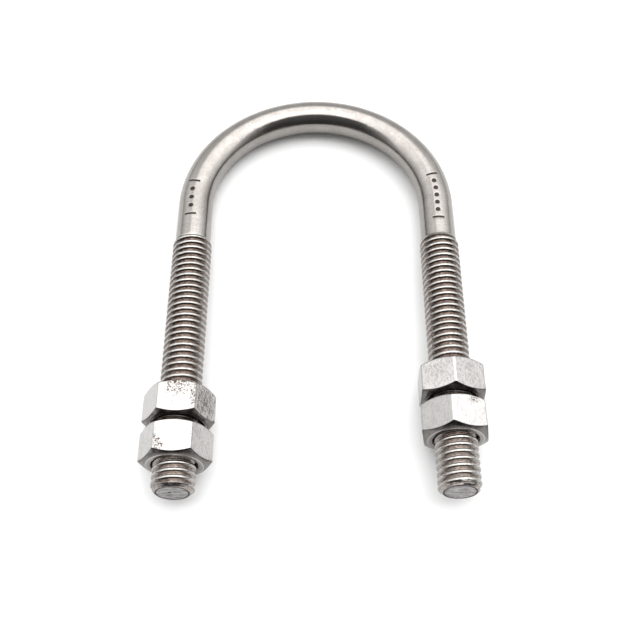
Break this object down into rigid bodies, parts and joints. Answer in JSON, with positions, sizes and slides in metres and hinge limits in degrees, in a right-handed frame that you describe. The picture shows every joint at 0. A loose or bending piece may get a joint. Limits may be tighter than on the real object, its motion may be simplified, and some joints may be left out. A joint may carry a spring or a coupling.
{
  "type": "u-bolt",
  "caption": "Round-bend U-bolt with threaded legs and paired hex nuts, for clamping a pipe to a plate or beam.",
  "frame": {"origin": "centre of the bend, on the axis of the pipe that it seats", "axes": "+Y from the legs towards the bend, +X from the left leg to the right leg, +Z along the pipe; the U lies flat"},
  "size_m": [0.0759, 0.111, 0.016],
  "materials": {
    "bar_steel": "satin stainless, warm grey",
    "nut_steel": "fine grained stainless, lightly pitted flats"
  },
  "bodies": {
    "rod": {"u_rod": "bar_steel"},
    "left_inner_nut": {"left_inner_nut": "nut_steel"},
    "left_outer_nut": {"left_outer_nut": "nut_steel"},
    "right_inner_nut": {"right_inner_nut": "nut_steel"},
    "right_outer_nut": {"right_outer_nut": "nut_steel"}
  },
  "joints": [
    {"name": "left_inner_travel", "type": "slide", "parent": "rod", "child": "left_inner_nut", "axis": [0, 1, 0], "range_m": [0, 0.0381]},
    {"name": "left_outer_travel", "type": "slide", "parent": "rod", "child": "left_outer_nut", "axis": [0, 1, 0], "range_m": [-0.01588, 0]},
    {"name": "right_inner_travel", "type": "slide", "parent": "rod", "child": "right_inner_nut", "axis": [0, 1, 0], "range_m": [0, 0.03175]},
    {"name": "right_outer_travel", "type": "slide", "parent": "rod", "child": "right_outer_nut", "axis": [0, 1, 0], "range_m": [-0.02064, 0]}
  ]
}
